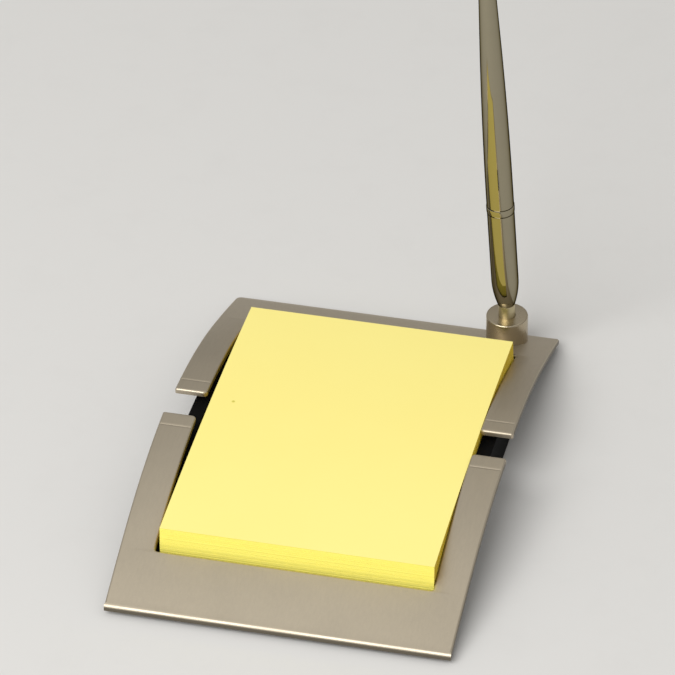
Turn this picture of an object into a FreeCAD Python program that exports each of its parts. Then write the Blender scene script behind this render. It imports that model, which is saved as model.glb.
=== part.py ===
import FreeCAD, Part
import math
import os

# Memo holder for a desk. Two satin metal plates with forked arms form one low arch round
# a block of loose memo sheets. A black moulded base carries the plates and the sheets, and
# a polished pen stands in a small socket on the rear plate.
# Millimetres. X to the right, Y to the rear, Z up. The origin is on the underside, at the
# centre of the footprint.

V = FreeCAD.Vector

# Block of memo sheets, slightly bowed over the base
pad_width = 76.2
pad_length = 101.6
pad_thickness = 9.5
pad_shift = 0.7             # the block lies a little to the right
pad_side_clearance = 0.4    # block to the right side of its well
pad_front_clearance = 2.4   # block to the front end of its well
pad_rear_clearance = 4.7    # block to the rear end of its well
pad_bow_radius = 775.0      # top surface
pad_bow_y = 10.6            # where the bow is highest
pad_below_crown = 1.0       # highest point of the block below the crown of the plates

# Outline of the plates, seen from above
front_bar_depth = 18.4
rear_bar_depth = 18.1
front_arm_width = 9.7
rear_arm_width = 9.2
front_flare = 0.8           # each side of the front plate widens this much towards its arm tips
rear_flare = 0.5
arm_gap = 10.6              # finger gap between the front and rear arm tips
left_corner_radius = 1.6    # corners of the opening
right_corner_radius = 0.7
tip_corner_radius = 1.2
outer_tip_radius = 0.6
rear_left_corner_radius = 1.8
rear_right_corner_radius = 0.5
rim_bevel = 0.35
front_rim_round = 0.8
tip_line_inset = 5.3        # scored line across each arm
tip_line_width = 0.4
tip_line_depth = 0.25

# Arch of the two plates, seen from the side
plate_thickness = 1.5
edge_height = 3.0           # top surface above the table at the front and rear edges
crown_radius = 155.0        # middle of the arch, top surface
crown_half = 45.0           # how far the crown radius runs each way
flank_radius = 400.0        # flatter arc from there to the edges

# Moulded base and the sheet under it
mat_thickness = 1.0
mat_inset = 1.5
base_inset = 3.6            # base edge inside the front and rear plate edges
base_wall = 4.0
base_corner_radius = 4.0
wall_drop = 3.0             # side walls below the underside of the arms

# Screws from below, into bosses of the plates
screw_diameter = 2.5
screw_head_diameter = 4.5
screw_head_height = 1.4
screw_clearance = 0.2       # radial, round the head and where a screw passes through
boss_diameter = 5.6
boss_length = 1.6
boss_clearance = 0.15       # radial and below the boss
bore_above_boss = 0.7       # how far the screw reaches into the plate itself
front_screw_side_inset = 17.0    # from the side of the front edge
front_screw_inset = 11.0    # from the front edge
rear_screw_side_inset = 23.0     # from the side of the rear edge
rear_screw_inset = 11.0     # from the rear edge
recess_diameter = 2.7       # hexagon recess of the screws, across corners
recess_depth = 0.9

# Pen socket
socket_side_inset = 14.1    # socket axis from the right end of the rear edge
socket_inset = 6.3          # socket axis from the rear edge
socket_diameter = 12.0
socket_height = 8.7         # above the plate, on the socket's axis
socket_edge_bevel = 0.45
socket_screw_reach = 3.4    # thread into the socket
collar_diameter = 4.8
collar_rise = 4.1           # collar above the socket, along the pen
collar_seat_depth = 2.6     # collar let into the socket, along the pen
collar_wall = 0.75
collar_clearance = 0.05
collar_edge_bevel = 0.3

# Pen: leans a little to the left and to the front
pen_lean = 3.3              # degrees from upright
pen_heading = 207.0         # degrees from +X towards +Y
barrel_diameter = 7.85
mouth_diameter = 5.0
nose_length = 9.1           # from the collar to the full diameter
ring_rise = 34.1            # from the collar to the centre ring
ring_width = 2.0
ring_proud = 0.12
groove_depth = 0.3
groove_width = 0.35
taper_joint_rise = 86.3     # from the collar to where the curved taper runs out straight
taper_joint_diameter = 6.3
pen_length = 122.0          # from the collar to the rounded top
pen_top_diameter = 4.0
nose_steps = 5              # short cones that make up each curved outline
taper_steps = 3
round_steps = 3
point_diameter = 2.9
point_length = 5.6
point_end_diameter = 1.0
point_clearance = 0.15

cut_over = 5.0              # how far cutting shapes reach past what they cut

opening_half = pad_width / 2 + pad_shift + pad_side_clearance
opening_length = pad_front_clearance + pad_length + pad_rear_clearance
frame_depth = front_bar_depth + opening_length + rear_bar_depth
half_depth = frame_depth / 2
front_tip_half = opening_half + front_arm_width
front_edge_half = front_tip_half - front_flare
rear_tip_half = opening_half + rear_arm_width
rear_edge_half = rear_tip_half - rear_flare
base_half_width = opening_half + base_wall


# Side profile of the arch

def arch_offset(u):
    """Drop of the top surface below the crown, at a distance u from the middle."""
    u = abs(u)
    inner = min(u, crown_half)
    drop = crown_radius - math.sqrt(crown_radius ** 2 - inner ** 2)
    if u > crown_half:
        s0 = crown_half / crown_radius
        s1 = s0 + (u - crown_half) / flank_radius
        drop += flank_radius * (math.sqrt(1 - s0 ** 2) - math.sqrt(1 - s1 ** 2))
    return drop


crown_height = edge_height + arch_offset(half_depth)


def arch_height(y):
    return crown_height - arch_offset(y)


def arch_wires(depth_below, reach):
    """Edges of the arch at a constant distance below the top surface, from -reach to reach."""
    tilt = math.asin(crown_half / crown_radius)
    r_in = crown_radius - depth_below
    r_out = flank_radius - depth_below
    c_in = V(0, 0, crown_height - crown_radius)
    edges = []
    joint = V(0, r_in * math.sin(tilt), c_in.z + r_in * math.cos(tilt))
    c_out_y = -(flank_radius - crown_radius) * math.sin(tilt)
    c_out_z = c_in.z - (flank_radius - crown_radius) * math.cos(tilt)
    end_tilt = math.asin((reach - c_out_y) / r_out)
    mid_tilt = (tilt + end_tilt) / 2

    def outer(t, side):
        return V(0, side * (c_out_y + r_out * math.sin(t)), c_out_z + r_out * math.cos(t))

    joint_left = V(0, -joint.y, joint.z)
    edges.append(Part.Arc(outer(end_tilt, -1), outer(mid_tilt, -1), joint_left).toShape())
    edges.append(Part.Arc(joint_left, V(0, 0, c_in.z + r_in), joint).toShape())
    edges.append(Part.Arc(joint, outer(mid_tilt, 1), outer(end_tilt, 1)).toShape())
    return edges, outer(end_tilt, -1), outer(end_tilt, 1)


def arch_slab(top_below, bottom_below, half_width):
    """Curved sheet between two distances below the top surface."""
    reach = half_depth + cut_over
    top, top_front, top_rear = arch_wires(top_below, reach)
    low, low_front, low_rear = arch_wires(bottom_below, reach)
    rear = Part.LineSegment(top_rear, low_rear).toShape()
    front = Part.LineSegment(low_front, top_front).toShape()
    wire = Part.Wire(Part.__sortEdges__(top + [rear] + low + [front]))
    face = Part.Face(wire)
    face.translate(V(-half_width, 0, 0))
    return face.extrude(V(2 * half_width, 0, 0))


def under_arch(below, half_width, floor):
    """Solid from a level floor up to the arch at a distance below the top surface."""
    reach = half_depth + cut_over
    top, front, rear = arch_wires(below, reach)
    a = V(0, front.y, floor)
    b = V(0, rear.y, floor)
    sides = [Part.LineSegment(rear, b).toShape(), Part.LineSegment(b, a).toShape(),
             Part.LineSegment(a, front).toShape()]
    face = Part.Face(Part.Wire(Part.__sortEdges__(top + sides)))
    face.translate(V(-half_width, 0, 0))
    return face.extrude(V(2 * half_width, 0, 0))


def rounded_outline(points):
    """Closed level wire through (x, y, corner radius) points."""
    edges = []
    count = len(points)
    starts = []
    ends = []
    arcs = []
    for i in range(count):
        x0, y0, _ = points[i - 1]
        x1, y1, radius = points[i]
        x2, y2, _ = points[(i + 1) % count]
        a = V(x0 - x1, y0 - y1, 0).normalize()
        b = V(x2 - x1, y2 - y1, 0).normalize()
        corner = V(x1, y1, 0)
        if radius == 0:
            starts.append(corner)
            ends.append(corner)
            arcs.append(None)
            continue
        half = math.acos(max(-1, min(1, a.dot(b)))) / 2
        run = radius / math.tan(half)
        middle = (a + b).normalize()
        centre = corner + middle * (radius / math.sin(half))
        p = corner + a * run
        q = corner + b * run
        arcs.append(Part.Arc(p, centre - middle * radius, q).toShape())
        starts.append(p)
        ends.append(q)
    for i in range(count):
        if arcs[i] is not None:
            edges.append(arcs[i])
        edges.append(Part.LineSegment(ends[i], starts[(i + 1) % count]).toShape())
    return Part.Wire(Part.__sortEdges__(edges))


def prism(points, low, high):
    face = Part.Face(rounded_outline(points))
    face.translate(V(0, 0, low))
    return face.extrude(V(0, 0, high - low))


def cylinder(x, y, low, high, diameter):
    return Part.makeCylinder(diameter / 2, high - low, V(x, y, low), V(0, 0, 1))


def outer_half(y):
    """Half width of the plates at y: each plate widens a little towards its arm tips."""
    tip = arm_gap / 2
    share = (abs(y) - tip) / (half_depth - tip)
    if y < 0:
        return front_tip_half + share * (front_edge_half - front_tip_half)
    return rear_tip_half + share * (rear_edge_half - rear_tip_half)


# Plates

def plate_outline(side):
    """Fork seen from above. side is -1 for the front plate and 1 for the rear plate."""
    edge = side * half_depth
    tip = side * arm_gap / 2
    bar = front_bar_depth if side < 0 else rear_bar_depth
    inner = side * (half_depth - bar)
    left_corner = 0 if side < 0 else rear_left_corner_radius
    right_corner = 0 if side < 0 else rear_right_corner_radius
    return [
        (-outer_half(edge), edge, left_corner),
        (outer_half(edge), edge, right_corner),
        (outer_half(tip), tip, outer_tip_radius),
        (opening_half, tip, tip_corner_radius),
        (opening_half, inner, right_corner_radius),
        (-opening_half, inner, left_corner_radius),
        (-opening_half, tip, tip_corner_radius),
        (-outer_half(tip), tip, outer_tip_radius),
    ]


def top_edges(shape):
    """Edges that bound the top surface of a curved plate."""
    found = []
    for edge in shape.Edges:
        first, last = edge.ParameterRange
        middle = edge.valueAt((first + last) / 2)
        ends = [edge.valueAt(first), edge.valueAt(last), middle]
        if all(abs(p.z - arch_height(p.y)) < 0.01 for p in ends):
            smooth = abs(abs(middle.y) - crown_half) < 0.01 and abs(ends[0].y - ends[1].y) < 0.01
            if not smooth:
                found.append(edge)
    return found


def on_front_rim(edge):
    return all(abs(v.Point.y + half_depth) < 2 * front_rim_round for v in edge.Vertexes)


socket_x = rear_edge_half - socket_side_inset
front_screw_x = front_edge_half - front_screw_side_inset
rear_screw_x = rear_edge_half - rear_screw_side_inset
front_screw_y = front_screw_inset - half_depth
rear_screw_y = half_depth - rear_screw_inset
screws_front = [(-front_screw_x, front_screw_y), (front_screw_x, front_screw_y)]
screws_rear = [(-rear_screw_x, rear_screw_y), (rear_screw_x, rear_screw_y)]
socket_y = half_depth - socket_inset


def under_plate(y):
    """Height of the underside of a plate, measured straight down."""
    return arch_height(y) - plate_thickness / math.cos(math.atan(arch_slope(y)))


def arch_slope(y):
    step = 0.01
    return (arch_height(y + step) - arch_height(y - step)) / (2 * step)


def boss_bottom(y):
    return under_plate(y) - boss_length


def screw_top(y):
    return under_plate(y) + bore_above_boss


shank_hole = screw_diameter + 2 * screw_clearance
head_hole = screw_head_diameter + 2 * screw_clearance
boss_hole = boss_diameter + 2 * boss_clearance


def make_plate(side, places):
    slab = arch_slab(0, plate_thickness, front_tip_half + cut_over)
    plate = slab.common(prism(plate_outline(side), -cut_over, crown_height + cut_over))
    plate = plate.removeSplitter()
    rim = [e for e in top_edges(plate) if on_front_rim(e) and e.Length > front_edge_half]
    if rim:
        plate = plate.makeFillet(front_rim_round, rim)
    plate = plate.makeChamfer(rim_bevel, [e for e in top_edges(plate) if not on_front_rim(e)])
    # Scored line across each arm, cut square to the top surface
    line_y = side * (arm_gap / 2 + tip_line_inset)
    groove = arch_slab(-plate_thickness, tip_line_depth, front_tip_half + cut_over)
    band = Part.makeBox(4 * front_tip_half, tip_line_width, 2 * crown_height,
                        V(-2 * front_tip_half, line_y - tip_line_width / 2, 0))
    plate = plate.cut(groove.common(band))
    # Bosses for the screws
    for x, y in places:
        boss = cylinder(x, y, boss_bottom(y), crown_height, boss_diameter)
        boss = boss.common(under_arch(plate_thickness / 2, front_tip_half, 0))
        plate = plate.fuse(boss)
        plate = plate.cut(cylinder(x, y, 0, screw_top(y), screw_diameter))
    return plate.removeSplitter()


front_frame = make_plate(-1, screws_front)
rear_frame = make_plate(1, screws_rear)
rear_frame = rear_frame.cut(cylinder(socket_x, socket_y, 0, crown_height, shank_hole))

# Block of sheets and its well

well_low = front_bar_depth - half_depth
pad_front = well_low + pad_front_clearance
pad_left = pad_shift - pad_width / 2
pad_right = pad_shift + pad_width / 2
pad_peak_height = crown_height - pad_below_crown


def bowed_cylinder(radius, low_x, high_x):
    centre = V(low_x, pad_bow_y, pad_peak_height - pad_bow_radius)
    return Part.makeCylinder(radius, high_x - low_x, centre, V(1, 0, 0))


pad_box = Part.makeBox(pad_width, pad_length, 2 * crown_height, V(pad_left, pad_front, 0))
pad_floor_radius = pad_bow_radius - pad_thickness
memo_pad = pad_box.common(bowed_cylinder(pad_bow_radius, pad_left - cut_over, pad_right + cut_over))
memo_pad = memo_pad.cut(bowed_cylinder(pad_floor_radius, pad_left - cut_over, pad_right + cut_over))

# Moulded base

base_reach = half_depth - base_inset
base_plan = [(-base_half_width, -base_reach, base_corner_radius),
             (base_half_width, -base_reach, base_corner_radius),
             (base_half_width, base_reach, base_corner_radius),
             (-base_half_width, base_reach, base_corner_radius)]
base_tray = under_arch(plate_thickness, base_half_width + cut_over, mat_thickness)
base_tray = base_tray.common(prism(base_plan, 0, crown_height))

well = Part.makeBox(2 * opening_half, opening_length, 2 * crown_height, V(-opening_half, well_low, 0))
floor_body = bowed_cylinder(pad_floor_radius, -opening_half - cut_over, opening_half + cut_over)
base_tray = base_tray.cut(well.cut(floor_body))

# The side walls stop below the arms
walls_corner = V(-2 * base_half_width, well_low, 0)
above_walls = Part.makeBox(4 * base_half_width, opening_length, 2 * crown_height, walls_corner)
above_walls = above_walls.cut(under_arch(plate_thickness + wall_drop, 3 * base_half_width, -cut_over))
base_tray = base_tray.cut(above_walls.cut(well))

for x, y in screws_front + screws_rear:
    base_tray = base_tray.cut(cylinder(x, y, boss_bottom(y) - boss_clearance, crown_height, boss_hole))

# Each head lies in a counterbore, level with the underside of the base
head_top = mat_thickness + screw_head_height
for x, y in screws_front + screws_rear + [(socket_x, socket_y)]:
    base_tray = base_tray.cut(cylinder(x, y, 0, crown_height, shank_hole))
    base_tray = base_tray.cut(cylinder(x, y, 0, head_top, head_hole))
base_tray = base_tray.removeSplitter()

mat_x = base_half_width - mat_inset
mat_y = base_reach - mat_inset
mat_plan = [(sx * mat_x, sy * mat_y, base_corner_radius - mat_inset)
            for sx, sy in ((-1, -1), (1, -1), (1, 1), (-1, 1))]
base_mat = prism(mat_plan, 0, mat_thickness)


# Screws

def hexagon(x, y, low, high, across):
    turns = [math.radians(60 * k) for k in range(7)]
    corners = [V(x + across / 2 * math.cos(t), y + across / 2 * math.sin(t), low) for t in turns]
    return Part.Face(Part.makePolygon(corners)).extrude(V(0, 0, high - low))


def make_screw(x, y, top):
    head = cylinder(x, y, mat_thickness, head_top, screw_head_diameter)
    shank = cylinder(x, y, head_top, top, screw_diameter)
    screw = head.fuse(shank)
    recess = hexagon(x, y, 0, mat_thickness + recess_depth, recess_diameter)
    return screw.cut(recess).removeSplitter()


frame_screws = Part.makeCompound([make_screw(x, y, screw_top(y)) for x, y in screws_front + screws_rear])

# Pen socket

pen_axis = V(math.sin(math.radians(pen_lean)) * math.cos(math.radians(pen_heading)),
             math.sin(math.radians(pen_lean)) * math.sin(math.radians(pen_heading)),
             math.cos(math.radians(pen_lean)))
socket_top_height = arch_height(socket_y) + socket_height
pen_foot = V(socket_x, socket_y, socket_top_height)


def straight(points):
    """Edges through (distance along the pen, radius) points."""
    ends = [V(r, 0, s) for s, r in points]
    return [Part.LineSegment(p, q).toShape() for p, q in zip(ends, ends[1:])]


def swell(s0, r0, s1, r1, steps):
    """Points from one (distance, radius) to another, where the outline runs along the pen.

    The outline is an arc, divided into short cones.
    """
    bend = ((s1 - s0) ** 2 + (r1 - r0) ** 2) / (2 * (r1 - r0))
    turn = math.asin((s1 - s0) / bend)
    angles = [turn * (steps - k) / steps for k in range(steps + 1)]
    return [(s1 - bend * math.sin(t), r1 - bend * (1 - math.cos(t))) for t in angles]


def round_end(top, radius, steps):
    """Points from the side of a rod over its rounded tip."""
    angles = [math.pi / 2 * k / steps for k in range(steps + 1)]
    return [(top - radius + radius * math.sin(t), radius * math.cos(t)) for t in angles]


def turned(edges):
    """Solid turned about the pen axis from the edges of its half section."""
    face = Part.Face(Part.Wire(Part.__sortEdges__(edges)))
    solid = face.revolve(V(0, 0, 0), V(0, 0, 1), 360)
    solid.Placement = FreeCAD.Placement(pen_foot, FreeCAD.Rotation(V(0, 0, 1), pen_axis))
    return solid


def turned_polygon(points):
    return turned(straight(points + [points[0]]))


socket_screw_top = arch_height(socket_y) + socket_screw_reach
socket_base = cylinder(socket_x, socket_y, 0, socket_top_height, socket_diameter)
rim = [e for e in socket_base.Edges if abs(e.CenterOfMass.z - socket_top_height) < 0.01]
socket_base = socket_base.makeChamfer(socket_edge_bevel, rim)
# Its flat foot lies along the plate, which is nearly straight there
foot_corner = V(-frame_depth, -frame_depth, -frame_depth)
foot_cut = Part.makeBox(2 * frame_depth, 2 * frame_depth, frame_depth, foot_corner)
foot_cut.rotate(V(0, 0, 0), V(1, 0, 0), math.degrees(math.atan(arch_slope(socket_y))))
foot_cut.translate(V(socket_x, socket_y, arch_height(socket_y)))
socket_base = socket_base.cut(foot_cut)
seat_radius = collar_diameter / 2 + collar_clearance
seat = turned_polygon([
    (-collar_seat_depth, 0),
    (-collar_seat_depth, seat_radius),
    (collar_rise, seat_radius),
    (collar_rise, 0),
])
socket_base = socket_base.cut(seat)
socket_base = socket_base.cut(cylinder(socket_x, socket_y, 0, socket_screw_top, screw_diameter))
socket_screw = make_screw(socket_x, socket_y, socket_screw_top)

collar_radius = collar_diameter / 2
bore_radius = collar_radius - collar_wall
bore_end = collar_rise - point_length - point_clearance
socket_collar = turned_polygon([
    (-collar_seat_depth, 0),
    (-collar_seat_depth, collar_radius),
    (collar_rise - collar_edge_bevel, collar_radius),
    (collar_rise, collar_radius - collar_edge_bevel),
    (collar_rise, bore_radius),
    (bore_end, bore_radius),
    (bore_end, 0),
])


# Pen

def rise(distance):
    return collar_rise + distance


barrel_radius = barrel_diameter / 2
ring_low = rise(ring_rise) - ring_width / 2
ring_high = rise(ring_rise) + ring_width / 2
pen_lower = turned(straight([
    (rise(nose_length), barrel_radius),
    (ring_low - groove_width, barrel_radius),
    (ring_low - groove_width, barrel_radius - groove_depth),
    (ring_low, barrel_radius - groove_depth),
    (ring_low, 0),
    (collar_rise, 0),
] + swell(collar_rise, mouth_diameter / 2, rise(nose_length), barrel_radius, nose_steps)))
pen_ring = turned_polygon([
    (ring_low, 0),
    (ring_low, barrel_radius),
    (ring_low + ring_proud, barrel_radius + ring_proud),
    (ring_high - ring_proud, barrel_radius + ring_proud),
    (ring_high, barrel_radius),
    (ring_high, 0),
])
top_radius = pen_top_diameter / 2
joint_radius = taper_joint_diameter / 2
pen_upper = turned(straight([
    (rise(pen_length), 0),
    (ring_high, 0),
    (ring_high, barrel_radius - groove_depth),
    (ring_high + groove_width, barrel_radius - groove_depth),
] + swell(rise(taper_joint_rise), joint_radius, ring_high + groove_width, barrel_radius, taper_steps)[::-1]
    + round_end(rise(pen_length), top_radius, round_steps)))
point_radius = point_diameter / 2
pen_point = turned_polygon([
    (collar_rise, 0),
    (collar_rise, point_radius),
    (collar_rise - point_length / 3, point_radius),
    (collar_rise - point_length, point_end_diameter / 2),
    (collar_rise - point_length, 0),
])

nodes = {
    "front_frame": front_frame,
    "rear_frame": rear_frame,
    "base_tray": base_tray,
    "base_mat": base_mat,
    "memo_pad": memo_pad,
    "frame_screws": frame_screws,
    "socket_base": socket_base,
    "socket_screw": socket_screw,
    "socket_collar": socket_collar,
    "pen_point": pen_point,
    "pen_lower_barrel": pen_lower,
    "pen_centre_ring": pen_ring,
    "pen_upper_barrel": pen_upper,
}

os.makedirs("parts", exist_ok=True)
for name, shape in nodes.items():
    if not shape.isValid() or shape.Volume <= 0:
        raise ValueError(name + " is not a valid solid")
    shape.exportStep("parts/" + name + ".step")
    box = shape.BoundBox
    print("%-18s solids %d  volume %9.1f  x %7.2f %7.2f  y %7.2f %7.2f  z %7.2f %7.2f" % (
        name, len(shape.Solids), shape.Volume, box.XMin, box.XMax, box.YMin, box.YMax, box.ZMin, box.ZMax))
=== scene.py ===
import bpy
import math
import random
from mathutils import Matrix, Vector


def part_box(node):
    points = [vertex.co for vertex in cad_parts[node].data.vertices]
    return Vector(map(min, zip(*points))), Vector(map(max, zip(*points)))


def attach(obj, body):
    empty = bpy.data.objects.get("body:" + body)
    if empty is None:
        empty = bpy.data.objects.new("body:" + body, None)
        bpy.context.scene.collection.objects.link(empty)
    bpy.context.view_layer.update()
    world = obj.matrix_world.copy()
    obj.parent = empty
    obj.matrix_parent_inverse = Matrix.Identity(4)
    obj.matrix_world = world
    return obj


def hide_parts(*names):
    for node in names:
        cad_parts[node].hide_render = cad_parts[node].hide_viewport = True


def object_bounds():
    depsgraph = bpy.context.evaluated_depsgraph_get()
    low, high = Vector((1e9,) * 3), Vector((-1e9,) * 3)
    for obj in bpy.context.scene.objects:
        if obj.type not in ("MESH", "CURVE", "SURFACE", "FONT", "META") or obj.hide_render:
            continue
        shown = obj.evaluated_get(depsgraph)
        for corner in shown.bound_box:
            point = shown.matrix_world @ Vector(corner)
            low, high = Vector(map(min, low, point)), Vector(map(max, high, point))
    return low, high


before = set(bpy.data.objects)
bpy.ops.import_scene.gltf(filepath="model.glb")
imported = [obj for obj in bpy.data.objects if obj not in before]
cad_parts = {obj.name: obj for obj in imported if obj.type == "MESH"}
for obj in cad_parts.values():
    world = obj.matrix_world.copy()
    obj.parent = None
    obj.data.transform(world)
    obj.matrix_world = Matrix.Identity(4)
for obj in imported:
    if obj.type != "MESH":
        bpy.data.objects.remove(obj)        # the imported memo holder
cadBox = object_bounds()
print("frame loaded:", len(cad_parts), "nodes")

near = 1e-5              # places closer than this are taken as one
same = 1e-6              # and doubles closer than this are merged
startSize = 0.001        # of the small plane that a spun piece starts from


# small helpers for object and edit mode
def deselectAll():
    for thing in bpy.context.selected_objects:
        thing.select_set(False)


def makeActive(piece):
    deselectAll()
    piece.select_set(True)
    bpy.context.view_layer.objects.active = piece


def enterEdit():
    bpy.ops.object.mode_set(mode="EDIT")


def leaveEdit():
    bpy.ops.object.mode_set(mode="OBJECT")


def selectWhole():
    bpy.ops.mesh.select_all(action="SELECT")


def mergeDoubles(distance):
    selectWhole()
    bpy.ops.mesh.remove_doubles(threshold=distance)


def turnOutward():
    selectWhole()
    bpy.ops.mesh.normals_make_consistent(inside=False)


def cutPiece(point, normal, **options):
    selectWhole()
    bpy.ops.mesh.bisect(plane_co=point, plane_no=normal, **options)


def startPick(piece, kind):
    # clears the selection, and ends in object mode, where code can select
    makeActive(piece)
    enterEdit()
    bpy.ops.mesh.select_mode(type=kind)
    bpy.ops.mesh.select_all(action="DESELECT")
    leaveEdit()


# each of these leaves the piece in edit mode with only the wanted parts selected
def pickFaces(piece, test):
    startPick(piece, "FACE")
    for face in piece.data.polygons:
        face.select = test(face)
    enterEdit()


def pickPoints(piece, test):
    startPick(piece, "VERT")
    for point in piece.data.vertices:
        point.select = test(point.co)
    enterEdit()


def pickCreases(piece, test):
    # edges, by the normals of the two faces that meet there and by the edge's middle
    sides = {}
    for face in piece.data.polygons:
        for key in face.edge_keys:
            sides.setdefault(key, []).append(face.normal.copy())
    startPick(piece, "EDGE")
    points = piece.data.vertices
    for edge in piece.data.edges:
        normals = sides.get(tuple(sorted(edge.vertices)), [])
        middle = (points[edge.vertices[0]].co + points[edge.vertices[1]].co) / 2
        edge.select = len(normals) == 2 and test(normals, middle)
    enterEdit()


def applyPlace(piece):
    makeActive(piece)
    bpy.ops.object.transform_apply(location=True, rotation=True, scale=True)


def smoothShade(piece, degrees):
    makeActive(piece)
    bpy.ops.object.shade_smooth_by_angle(angle=math.radians(degrees))


def startPoint(place):
    # a small plane merged to one point, in edit mode
    deselectAll()
    bpy.ops.mesh.primitive_plane_add(size=startSize, location=(0, 0, 0))
    piece = bpy.context.object
    enterEdit()
    bpy.ops.mesh.select_mode(type="VERT")
    selectWhole()
    bpy.ops.mesh.merge(type="CENTER")
    bpy.ops.transform.translate(value=place)
    return piece


def turnProfile(points, foot, axis, steps):
    # an outline of (distance along the axis, radius) points, spun into a closed turned piece
    piece = startPoint((points[0][1], 0, points[0][0]))
    for (along, out), (nextAlong, nextOut) in zip(points, points[1:]):
        bpy.ops.mesh.extrude_region_move(TRANSFORM_OT_translate={
            "value": (nextOut - out, 0, nextAlong - along)})
    selectWhole()
    bpy.ops.mesh.spin(steps=steps, angle=math.tau, center=(0, 0, 0), axis=(0, 0, 1))
    mergeDoubles(same)
    turnOutward()
    leaveEdit()
    piece.rotation_euler = Vector(axis).to_track_quat("Z", "Y").to_euler()
    piece.location = foot
    applyPlace(piece)
    return piece


def finishPiece(piece, name, material, slot, *nodes):
    piece.name = name
    piece.data.name = name
    piece.data.materials.clear()
    piece.data.materials.append(material)
    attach(piece, "root")
    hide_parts(*nodes)


# camera, from the photograph's own view
photoView = {
    "place": (0.28499, -1.13787, 0.92390),
    "right": (0.97224598, 0.23361744, -0.01267455),
    "up": (-0.12985766, 0.58390575, 0.80136824),
    "back": (0.19461434, -0.77748117, 0.59803704),
    "lens": 284.5,           # mm, as is the sensor's width
    "sensor": 36,
    "clip": (0.05, 40),
}
cameraData = bpy.data.cameras.new("photoCamera")
cameraData.lens = photoView["lens"]
cameraData.sensor_width = photoView["sensor"]
cameraData.clip_start, cameraData.clip_end = photoView["clip"]
camera = bpy.data.objects.new("photoCamera", cameraData)
bpy.context.scene.collection.objects.link(camera)
turn = Matrix([photoView["right"], photoView["up"], photoView["back"]]).transposed().to_4x4()
camera.matrix_world = Matrix.Translation(photoView["place"]) @ turn
bpy.context.scene.camera = camera
print("camera placed")

# sockets of a Mix node, for numbers and for colours
numberA, numberB, numberOut = 2, 3, 0
colorA, colorB, colorOut = 6, 7, 2


# helpers for node trees
def setInputs(tree, node, inputs):
    # an input gets another node's output, or a plain value
    for key, source in inputs.items():
        if isinstance(source, bpy.types.NodeSocket):
            tree.links.new(source, node.inputs[key])
        else:
            node.inputs[key].default_value = source


def addNode(tree, kind, inputs=None, **settings):
    node = tree.nodes.new(kind)
    for key, value in settings.items():
        setattr(node, key, value)
    setInputs(tree, node, inputs or {})
    return node


def objectPlace(tree):
    return addNode(tree, "ShaderNodeTexCoord").outputs["Object"]


def stretchPlace(tree, place, scale):
    return addNode(tree, "ShaderNodeMapping", {"Vector": place, "Scale": scale}).outputs["Vector"]


def splitVector(tree, vector):
    return addNode(tree, "ShaderNodeSeparateXYZ", {"Vector": vector}).outputs


def noise(tree, place, scale, detail, roughness):
    node = addNode(tree, "ShaderNodeTexNoise", {
        "Vector": place, "Scale": scale, "Detail": detail, "Roughness": roughness})
    return node.outputs["Fac"]


def remap(tree, value, fromLow, fromHigh, toLow=0.0, toHigh=1.0):
    node = addNode(tree, "ShaderNodeMapRange", {
        "Value": value, "From Min": fromLow, "From Max": fromHigh,
        "To Min": toLow, "To Max": toHigh})
    return node.outputs["Result"]


def calculate(tree, operation, *values):
    node = addNode(tree, "ShaderNodeMath", dict(enumerate(values)), operation=operation)
    return node.outputs["Value"]


def mixColors(tree, factor, first, second):
    node = addNode(tree, "ShaderNodeMix", {"Factor": factor, colorA: first, colorB: second},
                   data_type="RGBA")
    return node.outputs[colorOut]


def scaleColor(tree, color, amount):
    node = addNode(tree, "ShaderNodeVectorMath", {0: color, "Scale": amount}, operation="SCALE")
    return node.outputs["Vector"]


def bumpNormal(tree, height, strength, depth):
    node = addNode(tree, "ShaderNodeBump", {
        "Height": height, "Strength": strength, "Distance": depth})
    return node.outputs["Normal"]


def newGroup(name, inputs, outputs):
    group = bpy.data.node_groups.new(name, "ShaderNodeTree")
    for label, kind, value in inputs:
        socket = group.interface.new_socket(name=label, in_out="INPUT", socket_type=kind)
        socket.default_value = value
    for label, kind in outputs:
        group.interface.new_socket(name=label, in_out="OUTPUT", socket_type=kind)
    return group, addNode(group, "NodeGroupInput").outputs, addNode(group, "NodeGroupOutput")


# shared effects; each noise is given by its scale, detail and roughness
grainShape = {
    "grain": (3.0, 0.6),             # detail and roughness, the scale is each metal's own
    "streak": (1500.0, 2.0, 0.5),
    "stretch": (1.0, 0.05, 1.0),     # the streaks run from front to rear
    "cloud": (45.0, 3.0, 0.55),
    "span": (0.3, 0.7),              # most of the noise lies between these
    "roughSwing": 0.05,
    "tones": (0.94, 1.05),
    "depth": 0.00002,
}
speckShape = {
    "dots": (4.0, 0.7),              # detail and roughness, the scale is each finish's own
    "span": (0.5, 0.8),              # a speck shows from the first to the second
}


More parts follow.
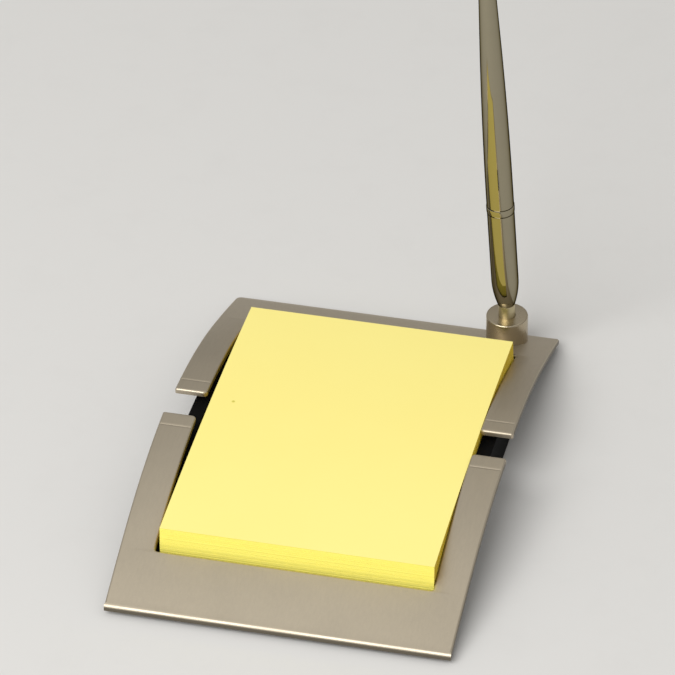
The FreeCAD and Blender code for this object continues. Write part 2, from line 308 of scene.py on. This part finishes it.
def makeSatinGrain():
    # fine blasted grain with faint streaks, for the metals
    shape = grainShape
    group, given, result = newGroup("satinGrain", [
        ("Color", "NodeSocketColor", (0.6, 0.56, 0.5, 1)),
        ("Roughness", "NodeSocketFloat", 0.35),
        ("Grain Size", "NodeSocketFloat", 4000.0),
        ("Streak", "NodeSocketFloat", 0.3),
    ], [
        ("Color", "NodeSocketColor"),
        ("Roughness", "NodeSocketFloat"),
        ("Height", "NodeSocketFloat"),
    ])
    place = objectPlace(group)
    grain = noise(group, place, given["Grain Size"], *shape["grain"])
    streak = noise(group, stretchPlace(group, place, shape["stretch"]), *shape["streak"])
    cloud = noise(group, place, *shape["cloud"])
    mixed = addNode(group, "ShaderNodeMix", {
        "Factor": given["Streak"], numberA: grain, numberB: streak}, data_type="FLOAT")
    height = mixed.outputs[numberOut]
    swing = remap(group, cloud, *shape["span"], -shape["roughSwing"], shape["roughSwing"])
    shade = remap(group, height, *shape["span"], *shape["tones"])
    setInputs(group, result, {
        "Color": scaleColor(group, given["Color"], shade),
        "Roughness": calculate(group, "ADD", swing, given["Roughness"]),
        "Height": height,
    })
    return group


def makeFineSpeck():
    # pale specks, for moulded black and for the floor
    shape = speckShape
    group, given, result = newGroup("fineSpeck", [
        ("Color", "NodeSocketColor", (0.02, 0.02, 0.02, 1)),
        ("Speck Color", "NodeSocketColor", (0.08, 0.08, 0.08, 1)),
        ("Scale", "NodeSocketFloat", 900.0),
        ("Amount", "NodeSocketFloat", 0.2),
    ], [
        ("Color", "NodeSocketColor"),
        ("Height", "NodeSocketFloat"),
    ])
    dots = noise(group, objectPlace(group), given["Scale"], *shape["dots"])
    share = calculate(group, "MULTIPLY", remap(group, dots, *shape["span"]), given["Amount"])
    setInputs(group, result, {
        "Color": mixColors(group, share, given["Color"], given["Speck Color"]),
        "Height": dots,
    })
    return group


satinGrain = makeSatinGrain()
fineSpeck = makeFineSpeck()
print("shared effects made")


def newMaterial(name):
    material = bpy.data.materials.new(name)
    material.use_nodes = True
    tree = material.node_tree
    return material, tree, tree.nodes["Principled BSDF"]


def paintWallShade(tree, color, walls):
    # painted shade: the cut walls are darkened in the colour, as they lie in shade, except at the arm
    # tips;
    # a face turns into a wall while its normal's height falls over the tilt's two values
    facing = addNode(tree, "ShaderNodeNewGeometry").outputs["Normal"]
    isWall = remap(tree, splitVector(tree, facing)["Z"], *walls["tilt"])
    along = calculate(tree, "ABSOLUTE", splitVector(tree, objectPlace(tree))["Y"])
    pastTips = calculate(tree, "GREATER_THAN", along, walls["tipsEnd"])
    shadeMask = calculate(tree, "MULTIPLY", isWall, pastTips)
    return scaleColor(tree, color, remap(tree, shadeMask, 0.0, 1.0, 1.0, walls["share"]))


def satinMetal(name, look):
    material, tree, surface = newMaterial(name)
    grain = addNode(tree, "ShaderNodeGroup", {
        "Color": (*look["color"], 1), "Roughness": look["roughness"],
        "Grain Size": look["grain"], "Streak": look["streak"]}, node_tree=satinGrain).outputs
    color = grain["Color"]
    # painted shade: the walls are darkened in the colour
    if "walls" in look:
        color = paintWallShade(tree, color, look["walls"])
    setInputs(tree, surface, {
        "Base Color": color,
        "Roughness": grain["Roughness"],
        "Normal": bumpNormal(tree, grain["Height"], look["bump"], grainShape["depth"]),
        "Metallic": 1.0,
    })
    return material


def speckled(name, look):
    material, tree, surface = newMaterial(name)
    speck = addNode(tree, "ShaderNodeGroup", {
        "Color": (*look["color"], 1), "Speck Color": (*look["speck"], 1),
        "Scale": look["scale"], "Amount": look["amount"]}, node_tree=fineSpeck).outputs
    setInputs(tree, surface, {
        "Base Color": speck["Color"],
        "Normal": bumpNormal(tree, speck["Height"], look["bump"], look["depth"]),
        "Roughness": look["roughness"],
        "Specular IOR Level": look["gloss"],
    })
    return material


metals = {
    "plateNickel": {"color": (0.545, 0.478, 0.37), "roughness": 0.47,
                    "grain": 5200.0, "streak": 0.35, "bump": 0.25,
                    # walls: painted shade, the walls' colour is darkened to the share below
                    "walls": {"share": 0.35, "tilt": (0.55, 0.2), "tipsEnd": 0.0065}},
    "socketNickel": {"color": (0.47, 0.40, 0.285), "roughness": 0.24,
                     "grain": 6500.0, "streak": 0.0, "bump": 0.15},
    "collarNickel": {"color": (0.56, 0.49, 0.31), "roughness": 0.40,
                     "grain": 6500.0, "streak": 0.0, "bump": 0.15},
    "screwSteel": {"color": (0.42, 0.42, 0.43), "roughness": 0.34,
                   "grain": 7000.0, "streak": 0.0, "bump": 0.2},
    "pointBrass": {"color": (0.62, 0.46, 0.20), "roughness": 0.28,
                   "grain": 7000.0, "streak": 0.0, "bump": 0.1},
}
blacks = {
    "baseBlack": {"color": (0.004, 0.004, 0.004), "speck": (0.012, 0.012, 0.012),
                  "scale": 2600.0, "amount": 0.5, "bump": 0.35, "depth": 0.00006,
                  "roughness": 0.75, "gloss": 0.06},
    "sheetBlack": {"color": (0.007, 0.007, 0.007), "speck": (0.03, 0.03, 0.03),
                   "scale": 1500.0, "amount": 0.6, "bump": 0.5, "depth": 0.00012,
                   "roughness": 0.85, "gloss": 0.2},
}
finishes = {name: satinMetal(name, look) for name, look in metals.items()}
finishes.update({name: speckled(name, look) for name, look in blacks.items()})

# these solids keep their shape and only get a finish
solidFinishes = {
    "base_tray": "baseBlack",
    "base_mat": "sheetBlack",
    "frame_screws": "screwSteel",
    "socket_screw": "screwSteel",
    "pen_point": "pointBrass",
}
for node, finish in solidFinishes.items():
    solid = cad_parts[node]
    solid.data.materials.clear()
    solid.data.materials.append(finishes[finish])
print("finishes given to the solids")

# two forked plates, laid over the arch
arch = {
    "crown": 0.155,          # radius of the middle of the arch
    "crownHalf": 0.045,
    "flank": 0.400,          # flatter arc from there to the edges
    "edgeHalf": 0.0726,
    "edgeHeight": 0.0030,
    "surfaceHalf": 0.06,     # half width of the surface that the plates are draped on
    "surfaceSpare": 0.001,   # by which it passes the edges
    "crownSteps": 60,
    "flankSteps": 40,
}
crownTurn = math.asin(arch["crownHalf"] / arch["crown"])
crownDrop = arch["crown"] * (1 - math.cos(crownTurn))


def archOffset(y):
    # how far the top surface lies below the crown
    reach = abs(y)
    if reach <= arch["crownHalf"]:
        return arch["crown"] - math.sqrt(arch["crown"] ** 2 - reach ** 2)
    far = arch["flank"] * math.sin(crownTurn) + reach - arch["crownHalf"]
    flankTop = crownDrop + arch["flank"] * math.cos(crownTurn)
    return flankTop - math.sqrt(arch["flank"] ** 2 - far ** 2)


archTop = arch["edgeHeight"] + archOffset(arch["edgeHalf"])


def archHeight(y):
    return archTop - archOffset(y)


def makeArchSurface():
    # a line across the crown, spun over the crown arc and on over both flanks
    halves = []
    for side in (-1, 1):
        half = startPoint((-arch["surfaceHalf"], 0, archTop))
        bpy.ops.mesh.extrude_region_move(TRANSFORM_OT_translate={
            "value": (2 * arch["surfaceHalf"], 0, 0)})
        selectWhole()
        bpy.ops.mesh.spin(steps=arch["crownSteps"], angle=side * crownTurn,
                          center=(0, 0, archTop - arch["crown"]), axis=(1, 0, 0))
        flankY = side * (arch["crownHalf"] - arch["flank"] * math.sin(crownTurn))
        flankZ = archTop - crownDrop - arch["flank"] * math.cos(crownTurn)
        flankEnd = arch["edgeHalf"] + arch["surfaceSpare"] - side * flankY
        flankTurn = math.asin(flankEnd / arch["flank"]) - crownTurn
        bpy.ops.mesh.spin(steps=arch["flankSteps"], angle=side * flankTurn,
                          center=(0, flankY, flankZ), axis=(1, 0, 0))
        leaveEdit()
        halves.append(half)
    makeActive(halves[0])
    halves[1].select_set(True)
    bpy.ops.object.join()
    enterEdit()
    mergeDoubles(same)
    leaveEdit()
    return bpy.context.object


frontPlate = {
    "side": -1,
    "edgeHalf": 0.0481,      # half width at the outer edge, and at the arm tips
    "tipHalf": 0.0489,
    "inner": 0.0542,         # where the bar ends and the arms begin
    "edgeCorners": (0.0, 0.0),       # rounding, left and right
    "leftInner": (0.0385, 0.0393),   # half opening on the left, at the bar and at the arm tip
    "edgeRound": 0.0008,     # the front rim is rolled over further than the others
}
rearPlate = {
    "side": 1,
    "edgeHalf": 0.0479,
    "tipHalf": 0.0484,
    "inner": 0.0530,
    "edgeCorners": (0.0018, 0.0005),
    "leftInner": (0.0392, 0.0392),
    "edgeRound": 0.0,
}
plateShape = {
    "openingHalf": 0.0392,
    "tip": 0.0053,           # arm tips, from the middle of the arch
    "spare": 0.002,          # width that the slanted sides cut off again
    "leftCorner": 0.0009,    # roundings of the outline
    "rightCorner": 0.0007,
    "innerTip": 0.0012,
    "outerTip": 0.0006,
    "cornerReach": 0.0005,   # the inner tip corners may lie this far outside the opening
    "cornerSteps": 8,
    "station": 0.0015,       # the plate is divided this finely along the arch
    "line": 0.0106,          # scored line across each arm
    "lineHalf": 0.0002,
    "lineDepth": 0.0001,
    "lineClear": 0.0005,     # no station is nearer to the line or to the edge than these
    "edgeClear": 0.001,
    "lift": 0.05,            # height from which the plate is dropped on the arch
    "thickness": 0.00157,
    "topTilt": 0.6,          # a normal's height, above which a face is on top
    "wallTilt": 0.2,         # and below which it is a wall
    "rim": 0.0006,
    "rimSteps": 4,
    "edgeSteps": 6,
    "edgeKept": 0.0012,      # so near to a rolled front rim, nothing is rounded again
    "pressReach": 1.05,      # in rims, how far below the top the line still shows
    "smooth": 28,
    "flat": 0.05,            # degrees
}


def cutAcross(y):
    cutPiece((0, y, 0), (0, 1, 0))


def makeFork(look):
    # the flat outline: slanted sides, an opening between two arms, rounded corners
    shape, side = plateShape, look["side"]
    edge, tip, inner = side * arch["edgeHalf"], side * shape["tip"], side * look["inner"]
    opening = shape["openingHalf"]
    deselectAll()
    bpy.ops.mesh.primitive_plane_add(size=1, location=(0, (edge + tip) / 2, 0))
    plate = bpy.context.object
    plate.scale = (2 * look["tipHalf"] + shape["spare"], abs(edge - tip), 1)
    applyPlace(plate)
    enterEdit()
    slant = (look["tipHalf"] - look["edgeHalf"]) / (arch["edgeHalf"] - shape["tip"])
    for hand in (-1, 1):
        cutPiece((hand * look["tipHalf"], tip, 0), (hand, side * slant, 0), clear_outer=True)
    atBar, atTip = look["leftInner"]
    cutPiece((opening, 0, 0), (1, 0, 0))
    cutPiece((-atTip, tip, 0), (1, (atTip - atBar) / (tip - inner), 0))
    cutAcross(inner)
    leaveEdit()
    pickFaces(plate, lambda face: abs(face.center.x) < opening and abs(face.center.y) < abs(inner))
    bpy.ops.mesh.delete(type="FACE")
    selectWhole()
    bpy.ops.mesh.dissolve_limited(angle_limit=math.radians(shape["flat"]))
    leaveEdit()
    corners = [
        (shape["innerTip"], tip, lambda x: abs(x) < opening + shape["cornerReach"]),
        (shape["outerTip"], tip, lambda x: abs(x) > look["tipHalf"] - near),
        (shape["leftCorner"], inner, lambda x: -opening - near < x < 0),
        (shape["rightCorner"], inner, lambda x: 0 < x < opening + near),
        (look["edgeCorners"][0], edge, lambda x: x < 0),
        (look["edgeCorners"][1], edge, lambda x: x > 0),
    ]
    for radius, level, across in corners:
        if radius:
            pickPoints(plate, lambda p: abs(p.y - level) < near and across(p.x))
            bpy.ops.mesh.bevel(offset=radius, segments=shape["cornerSteps"], affect="VERTICES")
            leaveEdit()
    return plate


def dividePlate(plate, side):
    # stations along the arch, and three cuts for the scored line
    shape = plateShape
    makeActive(plate)
    enterEdit()
    stations = int((arch["edgeHalf"] - shape["tip"]) / shape["station"])
    for station in range(1, stations + 1):
        y = shape["tip"] + station * shape["station"]
        if abs(y - shape["line"]) > shape["lineClear"] and arch["edgeHalf"] - y > shape["edgeClear"]:
            cutAcross(side * y)
    for away in (-shape["lineHalf"], 0, shape["lineHalf"]):
        cutAcross(side * (shape["line"] + away))
    leaveEdit()


def drapePlate(plate, surface):
    # dropped on the arch, then given its thickness
    plate.location.z = plateShape["lift"]
    applyPlace(plate)
    drape = plate.modifiers.new("drape", "SHRINKWRAP")
    drape.target = surface
    drape.wrap_method = "PROJECT"
    drape.use_project_z = True
    drape.use_positive_direction = True
    drape.use_negative_direction = True
    bpy.ops.object.modifier_apply(modifier=drape.name)
    enterEdit()
    turnOutward()
    bpy.ops.mesh.extrude_region_move(TRANSFORM_OT_translate={
        "value": (0, 0, -plateShape["thickness"])})
    turnOutward()
    leaveEdit()


def roundRims(plate, look):
    shape = plateShape
    edge = look["side"] * arch["edgeHalf"]

    def isRim(normals):
        onTop = [normal for normal in normals if normal.z > shape["topTilt"]]
        walls = [normal for normal in normals if abs(normal.z) < shape["wallTilt"]]
        return len(onTop) == 1 and len(walls) == 1

    if look["edgeRound"]:
        pickCreases(plate, lambda normals, middle: isRim(normals) and abs(middle.y - edge) < near)
        bpy.ops.mesh.bevel(offset=look["edgeRound"], segments=shape["edgeSteps"], affect="EDGES")
        leaveEdit()
    pickCreases(plate, lambda normals, middle: isRim(normals)
                and (abs(middle.y - edge) > shape["edgeKept"] or not look["edgeRound"]))
    bpy.ops.mesh.bevel(offset=shape["rim"], segments=shape["rimSteps"], affect="EDGES")
    leaveEdit()


def pressLine(plate, side):
    # the scored line comes last, so it runs out over the rims
    shape = plateShape
    lowest = archHeight(shape["line"]) - shape["rim"] * shape["pressReach"]
    pickPoints(plate, lambda p: abs(p.y - side * shape["line"]) < 2 * near and p.z > lowest)
    bpy.ops.transform.translate(value=(0, 0, -shape["lineDepth"]))
    leaveEdit()


archSurface = makeArchSurface()
for name, look, slot, node in (("frontPlate", frontPlate, "front_plate_metal", "front_frame"),
                               ("rearPlate", rearPlate, "rear_plate_metal", "rear_frame")):
    plate = makeFork(look)
    dividePlate(plate, look["side"])
    drapePlate(plate, archSurface)
    roundRims(plate, look)
    pressLine(plate, look["side"])
    smoothShade(plate, plateShape["smooth"])
    finishPiece(plate, name, finishes["plateNickel"], slot, node)
    print(name, "made:", len(plate.data.polygons), "faces")
makeActive(archSurface)
bpy.ops.object.delete()

# socket, collar and pen; distances along the pen are from the socket's top
penLine = {
    "foot": (0.0338, 0.0663, 0.014067),     # where the pen's line meets the socket's top
    "axis": (-0.051290, -0.026134, 0.998342),
}
socket = {
    "radius": 0.0060,
    "turns": 128,
    "rim": 0.00045,
    "rimSteps": 5,
    "bore": 0.00248,
    "boreDepth": 0.0026,
    "slopeStep": 0.0001,     # over which the arch's slope is measured
    "level": 0.99,           # a normal's height on the flat top
    "smooth": 30,
}
collar = {
    "radius": 0.0024,
    "seat": 0.0026,          # how deep it stands in the socket
    "rise": 0.0041,
    "edge": 0.0003,
    "edgeMiddle": 0.29,      # share of the edge at its middle point
    "bore": 0.00165,
    "boreEnd": -0.00165,
    "turns": 96,
    "smooth": 30,
}
pen = {
    "mouth": 0.0025,
    "radius": 0.003925,
    "nose": 0.0091,
    "noseSteps": 20,
    "ringRise": 0.0341,
    "ringHalf": 0.0010,
    "ringProud": 0.00012,
    "ringEdge": ((0.5, 0.8), (1.5, 1.0)),   # along and out, as shares of ringProud
    "groove": 0.00035,
    "grooveDepth": 0.0003,
    "taperEnd": 0.0863,
    "taperRadius": 0.00315,
    "taperSteps": 24,
    "length": 0.1220,
    "topRadius": 0.0020,
    "topSteps": 8,
    "turns": 128,
    "smooth": 25,
}


def arcOutline(along, out, endAlong, endOut, steps):
    # from one (distance, radius) to another, ending in line with the axis
    bend = ((endAlong - along) ** 2 + (endOut - out) ** 2) / (2 * (endOut - out))
    turn = math.asin((endAlong - along) / bend)
    angles = [turn * (steps - step) / steps for step in range(steps + 1)]
    return [(endAlong - bend * math.sin(angle), endOut - bend * (1 - math.cos(angle)))
            for angle in angles]


def makeSocket():
    x, y, top = penLine["foot"]
    deselectAll()
    bpy.ops.mesh.primitive_cylinder_add(vertices=socket["turns"], radius=socket["radius"],
                                        depth=top, location=(x, y, top / 2))
    piece = bpy.context.object
    applyPlace(piece)
    # its foot is cut along the arch
    step = socket["slopeStep"]
    slope = math.atan((archHeight(y + step) - archHeight(y - step)) / (2 * step))
    enterEdit()
    cutPiece((x, y, archHeight(y)), (0, -math.sin(slope), math.cos(slope)),
             use_fill=True, clear_inner=True)
    leaveEdit()
    pickCreases(piece, lambda normals, middle: abs(middle.z - top) < same)
    bpy.ops.mesh.bevel(offset=socket["rim"], segments=socket["rimSteps"], affect="EDGES")
    leaveEdit()
    pickFaces(piece, lambda face: face.normal.z > socket["level"] and abs(face.center.z - top) < same)
    bpy.ops.mesh.inset(thickness=socket["radius"] - socket["rim"] - socket["bore"], depth=0)
    bpy.ops.mesh.extrude_region_move(TRANSFORM_OT_translate={
        "value": [-socket["boreDepth"] * part for part in penLine["axis"]]})
    turnOutward()
    leaveEdit()
    smoothShade(piece, socket["smooth"])
    return piece


finishPiece(makeSocket(), "socketCup", finishes["socketNickel"], "socket_metal", "socket_base")

edge, eased = collar["edge"], collar["edge"] * collar["edgeMiddle"]
collarPiece = turnProfile([
    (-collar["seat"], 0),
    (-collar["seat"], collar["radius"]),
    (collar["rise"] - edge, collar["radius"]),
    (collar["rise"] - eased, collar["radius"] - eased),
    (collar["rise"], collar["radius"] - edge),
    (collar["rise"], collar["bore"]),
    (collar["boreEnd"], collar["bore"]),
    (collar["boreEnd"], 0),
], penLine["foot"], penLine["axis"], collar["turns"])
smoothShade(collarPiece, collar["smooth"])
finishPiece(collarPiece, "penCollar", finishes["collarNickel"], "collar_metal", "socket_collar")

chromeLook = {
    "color": (0.345, 0.31, 0.22),
    "dark": 0.93,            # the haze darkens the colour to this share
    "roughness": 0.03,
    "haze": 0.02,            # and adds up to this much roughness
    "hazeNoise": (260.0, 3.0, 0.6),
    "hazeSpan": (0.35, 0.7),
    "edge": (0.05, 0.05, 0.05, 1),
}


def makeChrome(name, look):
    material, tree, surface = newMaterial(name)
    haze = noise(tree, objectPlace(tree), *look["hazeNoise"])
    clear = (*look["color"], 1)
    hazy = (*[part * look["dark"] for part in look["color"]], 1)
    setInputs(tree, surface, {
        "Base Color": mixColors(tree, haze, clear, hazy),
        "Roughness": remap(tree, haze, *look["hazeSpan"],
                           look["roughness"], look["roughness"] + look["haze"]),
        "Metallic": 1.0,
        "Specular Tint": look["edge"],
    })
    return material


def penOutlines():
    radius, groove, proud = pen["radius"], pen["groove"], pen["ringProud"]
    grooveRadius = radius - pen["grooveDepth"]
    mouth = collar["rise"]
    ringLow = mouth + pen["ringRise"] - pen["ringHalf"]
    ringHigh = mouth + pen["ringRise"] + pen["ringHalf"]
    lower = [(mouth, 0)]
    lower += arcOutline(mouth, pen["mouth"], mouth + pen["nose"], radius, pen["noseSteps"])
    lower += [(ringLow - groove, radius), (ringLow - groove, grooveRadius),
              (ringLow, grooveRadius), (ringLow, 0)]
    ringHalf = [(0, 0), (0, grooveRadius), (0, radius)]
    ringHalf += [(along * proud, radius + out * proud) for along, out in pen["ringEdge"]]
    ring = [(ringLow + along, out) for along, out in ringHalf]
    ring += [(ringHigh - along, out) for along, out in reversed(ringHalf)]
    taper = arcOutline(mouth + pen["taperEnd"], pen["taperRadius"],
                       ringHigh + groove, radius, pen["taperSteps"])
    domeFoot = mouth + pen["length"] - pen["topRadius"]
    quarter = [math.pi / 2 * step / pen["topSteps"] for step in range(pen["topSteps"] + 1)]
    dome = [(domeFoot + pen["topRadius"] * math.sin(angle), pen["topRadius"] * math.cos(angle))
            for angle in quarter]
    upper = [(ringHigh, 0), (ringHigh, grooveRadius), (ringHigh + groove, grooveRadius)]
    return lower, ring, upper + taper[::-1] + dome


penChrome = makeChrome("penChrome", chromeLook)
lower, ring, upper = penOutlines()
for name, outline, node in (("penLower", lower, "pen_lower_barrel"),
                            ("penRing", ring, "pen_centre_ring"),
                            ("penUpper", upper, "pen_upper_barrel")):
    piece = turnProfile(outline, penLine["foot"], penLine["axis"], pen["turns"])
    smoothShade(piece, pen["smooth"])
    finishPiece(piece, name, penChrome, "pen_chrome", node)
print("socket, collar and pen turned")

# block of loose sheets
sheetStack = {
    "leaves": 38,            # bundles of a few sheets each, as the edges show
    "thickness": 0.0095,
    "fullness": 0.995,       # share of its layer that a bundle fills
    "bowRadius": 0.775,      # of the top sheet
    "bowY": 0.0106,          # where the bow is highest
    "bowSegments": 20,
    "slide": 0.00003,        # how far a bundle slips, to the side and along
    "lean": 0.0015,          # the lowest sheets lie this far to the front
    "rearReach": 0.0034,     # and are longer than the top one by this, at the rear
    "endClear": 0.00002,     # short of the solid's ends
    "swell": 0.0002,         # loose sheets spread a little sideways
    "weld": 1e-7,            # less than the gap between two bundles
    "smooth": 25,
    "seed": 7,
}
paperLook = {
    "edges": ((0.98, 0.87, 0.15, 1), (1.0, 0.95, 0.20, 1)),
    "layers": (420.0, 2.0, 0.5),
    "layerStretch": (0.12, 0.12, 4.0),
    "sides": (0.78, 0.55, 0.008, 1),         # painted shade: the long sides are darkened to a deep yellow, the tone they take in shade
    "faces": ((0.975, 0.835, 0.255, 1), (0.985, 0.875, 0.295, 1)),
    "clouds": (18.0, 4.0, 0.55),
    "topTilt": (0.5, 0.8),                   # a normal's height, from edge to face
    "fleck": (0.66, 0.58, 0.10, 1),          # one tiny fleck near the top sheet's left edge
    "fleckPlace": (-0.0312, 0.0043, 0.0181),
    "fleckReach": (0.0003, 0.0006),
    "fibre": (1400.0, 5.0, 0.7),
    "bump": 0.07,
    "depth": 0.00003,
    "roughness": 0.78,
    "gloss": 0.3,
}


def makePaper(look):
    material, tree, surface = newMaterial("memoPaper")
    place = objectPlace(tree)
    facing = splitVector(tree, addNode(tree, "ShaderNodeNewGeometry").outputs["Normal"])
    layers = noise(tree, stretchPlace(tree, place, look["layerStretch"]), *look["layers"])
    edgeTone = mixColors(tree, layers, *look["edges"])
    # painted shade: the long sides get the darker tone
    sideShadeTone = mixColors(tree, calculate(tree, "ABSOLUTE", facing["X"]), edgeTone, look["sides"])
    faceTone = mixColors(tree, noise(tree, place, *look["clouds"]), *look["faces"])
    reach = addNode(tree, "ShaderNodeVectorMath", {0: place, 1: look["fleckPlace"]},
                    operation="DISTANCE").outputs["Value"]
    offFleck = remap(tree, reach, *look["fleckReach"])
    topTone = mixColors(tree, offFleck, look["fleck"], faceTone)
    onTop = remap(tree, facing["Z"], *look["topTilt"])
    fibre = noise(tree, place, *look["fibre"])
    setInputs(tree, surface, {
        "Base Color": mixColors(tree, onTop, sideShadeTone, topTone),
        "Normal": bumpNormal(tree, fibre, look["bump"], look["depth"]),
        "Roughness": look["roughness"],
        "Specular IOR Level": look["gloss"],
    })
    return material


def makeSheets(stack):
    low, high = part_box("memo_pad")
    middle = (low + high) / 2
    width = high.x - low.x + 2 * stack["swell"]
    length = high.y - low.y - 2 * stack["endClear"]
    radius, bowY = stack["bowRadius"], stack["bowY"]
    centreZ = high.z - radius
    bottom = radius - stack["thickness"]
    layer = stack["thickness"] / stack["leaves"]
    frontTurn = math.asin((bowY - (middle.y - length / 2)) / radius)
    draw = random.Random(stack["seed"])
    leaves = []
    for leaf in range(stack["leaves"]):
        depth = 1 - leaf / stack["leaves"]
        lowRadius = bottom + layer * leaf
        topRadius = bottom + layer * (leaf + stack["fullness"])
        slipX = draw.uniform(-1, 1) * stack["slide"]
        slipY = draw.uniform(-1, 1) * stack["slide"] - stack["lean"] * depth
        rearY = middle.y + length / 2 + stack["rearReach"] * depth
        rearTurn = math.asin((rearY - bowY) / radius)
        centre = (0, bowY + slipY, centreZ)
        deselectAll()
        bpy.ops.mesh.primitive_plane_add(size=1, location=(0, 0, 0))
        piece = bpy.context.object
        piece.scale = (width, topRadius - lowRadius, 1)
        piece.rotation_euler = (math.radians(90), 0, 0)
        applyPlace(piece)
        # the strip's end stands at the front of the bow, and is spun to the rear
        enterEdit()
        selectWhole()
        bpy.ops.transform.translate(value=(
            middle.x + slipX, centre[1], centreZ + (lowRadius + topRadius) / 2))
        bpy.ops.transform.rotate(value=-frontTurn, orient_axis="X", center_override=centre)
        bpy.ops.mesh.spin(steps=stack["bowSegments"], angle=frontTurn + rearTurn,
                          center=centre, axis=(1, 0, 0))
        leaveEdit()
        leaves.append(piece)
    makeActive(leaves[0])
    for piece in leaves:
        piece.select_set(True)
    bpy.ops.object.join()
    enterEdit()
    mergeDoubles(stack["weld"])
    turnOutward()
    leaveEdit()
    return bpy.context.object


sheets = makeSheets(sheetStack)
smoothShade(sheets, sheetStack["smooth"])
finishPiece(sheets, "memoSheets", makePaper(paperLook), "memo_paper", "memo_pad")
print("sheets stacked:", len(sheets.data.polygons), "faces")

# floor and light
floorLook = {
    "size": 8,
    "drop": 0.0001,          # below the lowest point
    "color": (0.70, 0.69, 0.67),
    "speck": (0.65, 0.64, 0.62),
    "scale": 60.0,
    "amount": 0.3,
    "bump": 0.05,
    "depth": 0.0002,
    "roughness": 0.75,
    "gloss": 0.3,
}
deselectAll()
bpy.ops.mesh.primitive_plane_add(size=floorLook["size"],
                                 location=(0, 0, cadBox[0].z - floorLook["drop"]))
floor = bpy.context.object
floor.name = "floor"
applyPlace(floor)
floor.data.materials.append(speckled("floorPale", floorLook))

keyLamp = {
    "place": (-0.50, -1.25, 1.35),
    "aim": (0, 0, 0.02),
    "size": (1.5, 1.2),
    "power": 29.0,
}
lampData = bpy.data.lights.new("keyLamp", "AREA")
lampData.shape = "RECTANGLE"
lampData.size, lampData.size_y = keyLamp["size"]
lampData.energy = keyLamp["power"]
lamp = bpy.data.objects.new("keyLamp", lampData)
lamp.location = keyLamp["place"]
aimed = Vector(keyLamp["aim"]) - lamp.location
lamp.rotation_euler = aimed.to_track_quat("-Z", "Y").to_euler()
bpy.context.scene.collection.objects.link(lamp)

# a soft room, bright overhead and dimmer towards the horizon
roomLook = {
    "low": (0.33, 0.326, 0.32, 1),
    "high": (0.74, 0.735, 0.72, 1),
    "span": (0.35, 1.0),     # heights between which it brightens
    "strength": 1.0,
}
world = bpy.data.worlds.new("paleRoom")
world.use_nodes = True
bpy.context.scene.world = world
room = world.node_tree
outward = addNode(room, "ShaderNodeTexCoord").outputs["Generated"]
lift = remap(room, splitVector(room, outward)["Z"], *roomLook["span"])
setInputs(room, room.nodes["Background"], {
    "Color": mixColors(room, lift, roomLook["low"], roomLook["high"]),
    "Strength": roomLook["strength"],
})
bpy.context.scene.view_settings.view_transform = "Standard"
print("floor and light set")
